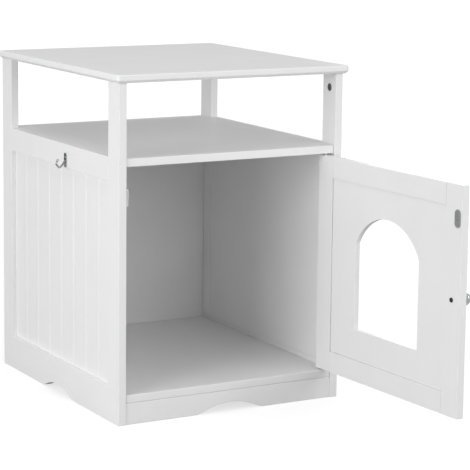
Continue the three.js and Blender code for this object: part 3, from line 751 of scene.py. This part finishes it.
def flush_screw(name, head, height, shank, length):
    """A countersunk screw whose flat head ends at z = height."""
    profile = [
        (0, -length),
        (shank * 0.4, -length),
        (shank, -length + 2 * shank),
        (shank, 0),
        (head * 0.96, height * 0.82),
        (head, height * 0.92),
        (head * 0.94, height),
        (0, height),
    ]
    piece = piece_from(turned(profile, 32), name)
    return with_recess(piece, height, head * 0.24, head * 1.15, height * 0.7)


def cam_lock(name, radius, depth):
    """A cam lock's face: a rim, a sunk ring and a raised middle with a cross recess."""
    middle = -0.1 * MM
    profile = [
        (0, -depth),
        (radius, -depth),
        (radius, -0.4 * MM),  # the rim, eased
        (radius - 0.4 * MM, 0),
        (radius - 1.3 * MM, 0),
        (radius - 1.5 * MM, -0.7 * MM),  # the sunk ring
        (radius - 2.7 * MM, -0.7 * MM),
        (radius - 3.0 * MM, middle),
        (0, middle),
    ]
    width, length, recess_depth = 1.9 * MM, 7.2 * MM, 1.9 * MM
    piece = piece_from(turned(profile, 48), name)
    return with_recess(piece, middle, width, length, recess_depth)


def fasten(name, shape, spots, material, body, slot, tree):
    """Puts one fastener at each spot: a list of (place, direction, node that it stands for)."""
    mesh = bpy.data.meshes.new(name)
    mesh.from_pydata([tuple(place) for place, _, _ in spots], [], [])
    facing = mesh.attributes.new("facing", "FLOAT_VECTOR", "POINT")
    for i, (_, direction, _) in enumerate(spots):
        facing.data[i].vector = direction
    piece = link_object(name, mesh)
    grow(piece, tree, {"Fastener": shape, "Material": MATERIALS[material]})
    bpy.data.objects.remove(shape)
    return dress(piece, MATERIALS[material], body, slot, *(node for _, _, node in spots))


def head_seat(node, direction, height, place=IN_PLACE):
    """The point under a screw's head, worked out from its node's box, and its direction."""
    low, high = corners(node, place)
    axis = max(range(3), key=lambda i: abs(direction[i]))
    end = high if direction[axis] > 0 else low
    seat = (low + high) / 2
    seat[axis] = end[axis] - direction[axis] * height
    return place @ seat, place.to_3x3() @ Vector(direction)


def stand_on(seat, direction):
    """Where a shape standing on z = 0 has to go to stand on the seat, facing the direction."""
    turn = Vector((0, 0, 1)).rotation_difference(direction).to_matrix().to_4x4()
    return Matrix.Translation(seat) @ turn


# head radius, head height, shank radius and length, in mm
SCREW_SIZES = {
    "catch_screws": (2.6, 1.5, 1.5, 12),
    "hook_screws": (2.2, 1.3, 1.1, 11),
    "knob_fixing_screw": (4.3, 2.2, 2.0, 27),
    "strike_fixing_screw": (3.0, 1.6, 1.5, 10),
}


def screw_set(tree, name, maker, finish, body, direction, *nodes):
    """Puts equal screws in the places of their nodes, their heads facing the direction."""
    place = DOOR_PLACE if body == "door" else IN_PLACE
    head, height, shank, length = (size * MM for size in SCREW_SIZES[name])
    shape = maker(f"{name}_shape", head, height, shank, length)
    spots = [(*head_seat(node, direction, height, place), node) for node in nodes]
    fasten(name, shape, spots, finish, body, "steel", tree)


class CABINET_OT_screws(bpy.types.Operator):
    """Makes the catch, hook, knob and strike plate screws"""

    bl_idname = "cabinet.screws"
    bl_label = "Screws"

    def execute(self, context):
        tree = fastener_tree()
        black = "black_steel"
        left, right = (-1, 0, 0), (1, 0, 0)
        inwards = (0, 1, 0)  # with the door closed
        nodes = ("catch_screw_1", "catch_screw_2")
        screw_set(tree, "catch_screws", pan_screw, black, "carcass", right, *nodes)
        nodes = ("hook_screw_1", "hook_screw_2")
        screw_set(tree, "hook_screws", pan_screw, black, "carcass", left, *nodes)
        screw_set(tree, "knob_fixing_screw", pan_screw, black, "door", inwards, "knob_screw")
        name = "strike_fixing_screw"
        screw_set(tree, name, flush_screw, "steel", "door", inwards, "strike_screw")
        return {"FINISHED"}


CAM_FACE_DEPTH = 3 * MM  # the bolt's head passes below this


class CABINET_OT_cam_locks(bpy.types.Operator):
    """Makes the cam locks' faces and finishes their bolts"""

    bl_idname = "cabinet.cam_locks"
    bl_label = "Cam locks"

    def execute(self, context):
        spots = []
        radius = 0
        for side in ("left", "right"):
            inward = (1, 0, 0) if side == "left" else (-1, 0, 0)
            for end in ("front", "rear"):
                facings = {"top": inward, "shelf": (0, 0, -1), "floor": (0, 0, -1)}
                for board, direction in facings.items():
                    node = f"{board}_{side}_{end}_cam"
                    low, high = corners(node)
                    radius = (high.y - low.y) / 2
                    spots.append((*head_seat(node, direction, 0), node))
                    finish_node(f"{board}_{side}_{end}_bolt", MATERIALS["steel"])
        shape = cam_lock("cam_lock_shape", radius, CAM_FACE_DEPTH)
        fasten("cam_lock_faces", shape, spots, "zinc", "carcass", "zinc", fastener_tree())
        return {"FINISHED"}


# ---- knob, strike plate, catch and hook ----


def smooth_profile(points, steps=4):
    """A Catmull-Rom line through points given as (radius, height)."""
    result = []
    last = len(points) - 1
    for i in range(last):
        p0, p1 = Vector(points[max(i - 1, 0)]), Vector(points[i])
        p2, p3 = Vector(points[i + 1]), Vector(points[min(i + 2, last)])
        for step in range(steps):
            t = step / steps
            bent = (
                2 * p1
                + (p2 - p0) * t
                + (2 * p0 - 5 * p1 + 4 * p2 - p3) * t * t
                + (3 * p1 - p0 - 3 * p2 + p3) * t * t * t
            ) / 2
            result.append((max(bent.x, 0), bent.y))
    result.append(tuple(points[last]))
    return result


KNOB_BORE = 2.4 * MM
KNOB_BORE_DEPTH = 13 * MM
KNOB_FOOT = 7.6 * MM  # radius of the flat that rests on the door


class CABINET_OT_knob(bpy.types.Operator):
    """Turns the round knob with its foot, neck and domed head"""

    bl_idname = "cabinet.knob"
    bl_label = "Knob"

    def execute(self, context):
        low, high = corners("knob", DOOR_PLACE)
        length = high.y - low.y
        radius = (high.x - low.x) / 2
        foot = [(0, KNOB_BORE_DEPTH), (KNOB_BORE, KNOB_BORE_DEPTH), (KNOB_BORE, 0), (KNOB_FOOT, 0)]
        # (radius, height) up the outside, from the rounded foot to the domed head
        outside = [
            (7.9 * MM, 0.3 * MM),
            (8.0 * MM, 1.0 * MM),
            (6.6 * MM, 2.2 * MM),
            (5.2 * MM, 4.0 * MM),
            (4.9 * MM, 6.0 * MM),
            (5.8 * MM, 8.0 * MM),
            (8.6 * MM, 9.9 * MM),
            (radius - 0.8 * MM, 11.6 * MM),
            (radius, 13.4 * MM),
            (radius - 0.9 * MM, 15.8 * MM),
            (radius * 0.76, length - 2.6 * MM),
            (radius * 0.42, length - 0.6 * MM),
            (0, length),
        ]
        bm = turned(foot + smooth_profile(outside), 64)
        centre = Vector(((low.x + high.x) / 2, high.y, (low.z + high.z) / 2))
        stand = Matrix.Translation(centre) @ Matrix.Rotation(math.radians(90), 4, "X")
        piece = piece_from(bm, "turned_knob", DOOR_PLACE @ stand)
        dress(piece, MATERIALS["bright_chrome"], "door", "chrome", "knob")
        return {"FINISHED"}


STRIKE_EASE = 0.35 * MM
STRIKE_HOLE = 1.8 * MM
STRIKE_SEAT = 3.3 * MM  # radius of the countersink at its mouth


class CABINET_OT_strike_plate(bpy.types.Operator):
    """Stamps the strike plate with round ends, eased rims and a countersunk screw seat"""

    bl_idname = "cabinet.strike_plate"
    bl_label = "Strike plate"

    def execute(self, context):
        low, high = corners("strike_plate", DOOR_PLACE)
        width, height, thickness = high.x - low.x, high.z - low.z, high.y - low.y
        half_w, half_h = width / 2, height / 2
        bm = prism(round_ended(half_w, -half_h, half_h), thickness, STRIKE_EASE)
        stand = Matrix.Translation((low + high) / 2 + Vector((0, -thickness / 2, 0)))
        stand = stand @ Matrix.Rotation(math.radians(-90), 4, "X")
        piece = piece_from(bm, "stamped_strike_plate", DOOR_PLACE @ stand)
        head_height = SCREW_SIZES["strike_fixing_screw"][1] * MM
        seat, direction = head_seat("strike_screw", (0, 1, 0), head_height, DOOR_PLACE)
        below, above = -3 * MM, 4 * MM
        tool_profile = [(0, below), (STRIKE_HOLE, below), (STRIKE_HOLE, -0.3 * MM)]
        tool_profile += [(STRIKE_SEAT, 1.3 * MM), (STRIKE_SEAT, above), (0, above)]
        tool = piece_from(turned(tool_profile, 32), "screw_seat", stand_on(seat, direction))
        combine(piece, tool, "DIFFERENCE")
        dress(smooth_curves(piece), MATERIALS["steel"], "door", "steel", "strike_plate")
        return {"FINISHED"}


CATCH_EASE = 0.5 * MM


class CABINET_OT_catch(bpy.types.Operator):
    """Eases the edges of the magnetic catch's housing and finishes its magnet"""

    bl_idname = "cabinet.catch"
    bl_label = "Magnetic catch"

    def execute(self, context):
        bm = merged_copy("catch_housing", IN_PLACE)
        low, high = corners("catch_housing")
        round_off(bm, outer_edges(bm, low, high, X_AXIS, False), CATCH_EASE)
        piece = piece_from(bm, "moulded_catch")
        dress(piece, MATERIALS["nylon"], "carcass", "white_plastic", "catch_housing")
        finish_node("catch_magnet", MATERIALS["ferrite"])
        return {"FINISHED"}


# middle of the hook's wire: reach out from its plate, and height above the ground, in mm
HOOK_ROUTE = (
    (-1, 454.6),
    (0.9, 454),
    (3.8, 450.3),
    (7, 446),
    (10.6, 443.7),
    (14.9, 446.9),
    (17.5, 452),
    (14.8, 457.6),
)
HOOK_PLATE_LOW, HOOK_PLATE_HIGH = 443 * MM, 471 * MM  # above the ground
HOOK_PLATE_THICKNESS = 1.8 * MM
HOOK_PLATE_EASE = 0.5 * MM
HOOK_WIRE_RADIUS = 1.8 * MM
HOOK_TIP_RADIUS = 2.4 * MM
HOOK_SCREW_HOLE = 1.4 * MM


class CABINET_OT_hook(bpy.types.Operator):
    """Makes the scoop hook: a round-ended plate, a bent wire and a ball tip"""

    bl_idname = "cabinet.hook"
    bl_label = "Scoop hook"

    def execute(self, context):
        low, high = corners("scoop_hook")
        y = (low.y + high.y) / 2
        face = high.x - HOOK_PLATE_THICKNESS
        half_w = (high.y - low.y) / 2
        outline = round_ended(half_w, HOOK_PLATE_LOW, HOOK_PLATE_HIGH)
        bm = prism(outline, HOOK_PLATE_THICKNESS, HOOK_PLATE_EASE, 3)
        # the plate is drawn with Y up: stand it up and face it to -X
        stand = Matrix.Translation((high.x, y, 0)) @ Matrix(
            ((0, 0, -1, 0), (-1, 0, 0, 0), (0, 1, 0, 0), (0, 0, 0, 1))
        )
        piece = piece_from(bm, "hook_plate", stand)
        head_height = SCREW_SIZES["hook_screws"][1] * MM
        below, above = -4 * MM, 3 * MM
        hole = [(0, below), (HOOK_SCREW_HOLE, below), (HOOK_SCREW_HOLE, above), (0, above)]
        for node in ("hook_screw_1", "hook_screw_2"):
            seat, direction = head_seat(node, (-1, 0, 0), head_height)
            tool = piece_from(turned(hole, 24), "screw_hole", stand_on(seat, direction))
            combine(piece, tool, "DIFFERENCE")
        wire = bpy.data.curves.new("hook_wire", "CURVE")
        wire.dimensions = "3D"
        wire.bevel_depth = HOOK_WIRE_RADIUS
        wire.bevel_resolution = 6
        wire.use_fill_caps = True
        wire.resolution_u = 8
        spline = wire.splines.new("BEZIER")
        spline.bezier_points.add(len(HOOK_ROUTE) - 1)
        for point, (reach, height) in zip(spline.bezier_points, HOOK_ROUTE):
            point.co = (face - reach * MM, y, height * MM)
            point.handle_left_type = point.handle_right_type = "AUTO"
        bent = made_plain_curve(wire)
        tip_reach, tip_height = HOOK_ROUTE[-1]
        ball = bmesh.new()
        bmesh.ops.create_uvsphere(ball, u_segments=24, v_segments=16, radius=HOOK_TIP_RADIUS)
        tip_place = Matrix.Translation((face - tip_reach * MM, y, tip_height * MM))
        tip = piece_from(ball, "hook_tip", tip_place)
        combine(piece, bent, "UNION")
        combine(piece, tip, "UNION")
        piece.name = "bent_scoop_hook"
        dress(smooth_curves(piece, 40), MATERIALS["chrome"], "carcass", "chrome", "scoop_hook")
        return {"FINISHED"}


def made_plain_curve(curve):
    """A curve object as a mesh with merged, outward-facing faces."""
    drawn = link_object("drawn_curve", curve)
    view = bpy.context.evaluated_depsgraph_get()
    mesh = bpy.data.meshes.new_from_object(drawn.evaluated_get(view), depsgraph=view)
    bpy.data.objects.remove(drawn)
    bm = bmesh.new()
    bm.from_mesh(mesh)
    bmesh.ops.remove_doubles(bm, verts=bm.verts, dist=TIGHT / 10)
    bmesh.ops.recalc_face_normals(bm, faces=bm.faces)
    bm.to_mesh(mesh)
    bm.free()
    return link_object("bent_wire", mesh)


# ---- studio, light and camera ----


class CABINET_OT_studio(bpy.types.Operator):
    """Sets out the white floor, the soft lights and the camera"""

    bl_idname = "cabinet.studio"
    bl_label = "Studio"

    def execute(self, context):
        make_floor()
        make_lights()
        make_camera()
        return {"FINISHED"}


MIRROR_SHARE = 0.2  # how much of the lifted white a glossy surface sees


def seen_directly(tree):
    """1 where the camera or glass sees the surface, a share for gloss, 0 for light that bounces."""
    path = add_node(tree, "ShaderNodeLightPath").outputs
    mirrored = maths(tree, "MULTIPLY", path["Is Glossy Ray"], MIRROR_SHARE)
    seen = maths(tree, "MAXIMUM", path["Is Camera Ray"], path["Is Transmission Ray"])
    return maths(tree, "MAXIMUM", seen, mirrored)


def choose_by_view(tree, bounced, seen, output):
    """Sends one shader to what is seen directly and another to light that bounces."""
    choice = add_node(tree, "ShaderNodeMixShader", {"Fac": seen_directly(tree)})
    tree.links.new(bounced.outputs[0], choice.inputs[1])
    tree.links.new(seen.outputs[0], choice.inputs[2])
    tree.links.new(choice.outputs[0], tree.nodes[output].inputs["Surface"])


NEAR, FAR = 1, 5  # metres from the cabinet's middle
LIFT_NEAR, LIFT_FAR = 0.7, 0.92  # how much light is added to the floor there
FLOOR_HALF_WIDTH = 15


def make_floor():
    """A wide white sheet. What looks at it sees it lifted to white, with the shadow kept."""
    material, tree, shader = new_material("White studio floor")
    place = object_place(tree)
    colour = blended(tree, noise(tree, place, 0.8), linear("#9c9c9c"), linear("#a2a2a2"))
    tree.links.new(colour, shader.inputs["Base Color"])
    shader.inputs["Roughness"].default_value = 0.9
    distance = add_node(tree, "ShaderNodeVectorMath", {0: place}, operation="LENGTH")
    lift = remapped(tree, distance.outputs["Value"], LIFT_NEAR, LIFT_FAR, NEAR, FAR)
    glow = add_node(tree, "ShaderNodeEmission", {"Color": (1, 1, 1, 1), "Strength": lift})
    lifted = add_node(tree, "ShaderNodeAddShader")
    tree.links.new(shader.outputs[0], lifted.inputs[0])
    tree.links.new(glow.outputs[0], lifted.inputs[1])
    choose_by_view(tree, shader, lifted, "Material Output")
    bm = bmesh.new()
    bmesh.ops.create_grid(bm, x_segments=8, y_segments=8, size=FLOOR_HALF_WIDTH)
    mesh = mesh_from(bm, "studio_floor")
    mesh.materials.append(material)
    floor = link_object("studio_floor", mesh)


def area_light(name, place, target, width, height, power):
    """A softbox turned to its target."""
    lamp = bpy.data.lights.new(name, "AREA")
    lamp.shape = "RECTANGLE"
    lamp.size = width
    lamp.size_y = height
    lamp.energy = power
    light = link_object(name, lamp)
    light.location = place
    light.rotation_euler = (Vector(target) - Vector(place)).to_track_quat("-Z", "Y").to_euler()
    return light


LIT_CENTRE = (0, 0.1, 0.35)  # what the softboxes are aimed at
# name, place, width, height, and the setting that holds the power
SOFTBOXES = (
    ("left_softbox", (-2.6, -0.7, 0.8), 1.8, 1.4, "left_light"),
    ("front_softbox", (0.7, -2.7, 1.3), 1.6, 1.2, "front_light"),
    ("right_softbox", (1.9, -2.6, 1.2), 1.6, 1.2, "right_light"),
    ("top_softbox", (-0.3, 0.1, 3.4), 2.6, 2.6, "top_light"),
    ("rear_softbox", (2.6, 1.9, 0.75), 1.8, 1.4, "rear_light"),
)


def make_lights():
    """A pale surround and five softboxes: left, front, front right, overhead and rear right."""
    world = bpy.data.worlds.new("Pale surround")
    world.use_nodes = True
    tree = world.node_tree
    background = tree.nodes["Background"]
    white = add_node(tree, "ShaderNodeBackground", {"Color": (1, 1, 1, 1), "Strength": 1.0})
    background.inputs["Color"].default_value = (1, 1, 1, 1)
    background.inputs["Strength"].default_value = settings().surround
    choose_by_view(tree, background, white, "World Output")
    bpy.context.scene.world = world
    for name, place, width, height, setting in SOFTBOXES:
        area_light(name, place, LIT_CENTRE, width, height, getattr(settings(), setting))


# fitted to the cabinet's edges in the photograph; angles are in degrees
CAMERA_PLACE = Vector((-1.7514, -3.1747, 0.9858))
CAMERA_AZIMUTH = 29.402  # from +Y towards +X
CAMERA_DOWN = 8.986
CAMERA_ROLL = 0.660
CAMERA_LENS = 151.33  # on a 36 mm wide sensor
CAMERA_SHIFT = -0.1  # of the frame's width, downwards


def make_camera():
    """Puts the camera where the photograph was taken from."""
    azimuth, down, roll = (math.radians(a) for a in (CAMERA_AZIMUTH, CAMERA_DOWN, CAMERA_ROLL))
    ahead = Vector(
        (math.sin(azimuth) * math.cos(down), math.cos(azimuth) * math.cos(down), -math.sin(down))
    )
    level = Vector((math.cos(azimuth), -math.sin(azimuth), 0))
    upright = level.cross(ahead)
    right = level * math.cos(roll) + upright * math.sin(roll)
    up = upright * math.cos(roll) - level * math.sin(roll)
    turn = Matrix((right, up, -ahead)).transposed().to_4x4()
    data = bpy.data.cameras.new("product_camera")
    data.sensor_width = 36
    data.lens = CAMERA_LENS
    data.shift_y = CAMERA_SHIFT
    data.clip_end = 60
    camera = link_object("product_camera", data)
    camera.matrix_world = Matrix.Translation(CAMERA_PLACE) @ turn
    bpy.context.scene.camera = camera
    bpy.context.scene.view_settings.view_transform = "Standard"


# ---- settings, panel and registration ----


def measured(name, description, default, unit="LENGTH"):
    """A setting with a unit."""
    return bpy.props.FloatProperty(name=name, description=description, default=default, unit=unit)


class CabinetSettings(bpy.types.PropertyGroup):
    """Sizes, colours and light that a user would change."""

    paint_white: bpy.props.StringProperty(
        name="Paint",
        description="Lightest tone of the paint, as an sRGB hex value",
        default="#f4f4f4",
    )
    paint_shade: bpy.props.StringProperty(
        name="Paint shade",
        description="Darkest tone of the paint, as an sRGB hex value",
        default="#efefef",
    )
    paint_roughness: bpy.props.FloatProperty(
        name="Paint roughness",
        description="0.2 is gloss, 0.6 is matt",
        default=0.33,
        min=0.1,
        max=0.9,
    )
    frame_ease: measured(
        "Frame easing", "How far the frame members' edges are sanded back", 0.7 * MM
    )
    board_ease: measured(
        "Board easing", "How far the shelf's and floor's edges are sanded back", 1.2 * MM
    )
    top_ease: measured("Table top easing", "Radius of the table top's upper edge", 1.8 * MM)
    bead_pitch: measured(
        "Groove spacing", "From one V groove of the side panels to the next", 55 * MM
    )
    bead_count: bpy.props.IntProperty(
        name="Grooves", description="V grooves in each side panel", default=7, min=1
    )
    bead_width: measured("Groove width", "Across the mouth of a V groove", 3 * MM)
    bead_depth: measured("Groove depth", "Depth of a V groove", 1.5 * MM)
    surround: bpy.props.FloatProperty(
        name="Surround", description="Strength of the pale surround", default=0.4, min=0
    )
    left_light: measured("Left softbox", "Power of the softbox on the left", 41, "POWER")
    front_light: measured("Front softbox", "Power of the softbox in front", 21, "POWER")
    right_light: measured(
        "Right softbox", "Power of the softbox in front on the right", 16, "POWER"
    )
    top_light: measured("Top softbox", "Power of the softbox overhead", 28, "POWER")
    rear_light: measured(
        "Rear softbox", "Power of the softbox that fills the back and the right side", 30, "POWER"
    )


PIECES = (
    CABINET_OT_table_top,
    CABINET_OT_side_frames,
    CABINET_OT_bead_boards,
    CABINET_OT_shelves,
    CABINET_OT_door,
    CABINET_OT_knob,
    CABINET_OT_strike_plate,
    CABINET_OT_catch,
    CABINET_OT_hook,
    CABINET_OT_screws,
    CABINET_OT_cam_locks,
    CABINET_OT_studio,
)


class CABINET_PT_panel(bpy.types.Panel):
    """Lists the cabinet's settings and pieces."""

    bl_label = "Cat litter box cabinet"
    bl_idname = "CABINET_PT_panel"
    bl_space_type = "VIEW_3D"
    bl_region_type = "UI"
    bl_category = "Cabinet"

    def draw(self, context):
        column = self.layout.column()
        for name in CabinetSettings.__annotations__:
            column.prop(context.scene.cabinet, name)
        for operator in PIECES:
            column.operator(operator.bl_idname)


CLASSES = (CabinetSettings, *PIECES, CABINET_PT_panel)


def register():
    for item in CLASSES:
        bpy.utils.register_class(item)
    bpy.types.Scene.cabinet = bpy.props.PointerProperty(type=CabinetSettings)


def unregister():
    del bpy.types.Scene.cabinet
    for item in reversed(CLASSES):
        bpy.utils.unregister_class(item)


def main():
    register()
    make_materials()
    for operator in PIECES:
        group, name = operator.bl_idname.split(".")
        getattr(getattr(bpy.ops, group), name)()


if __name__ == "__main__":
    main()
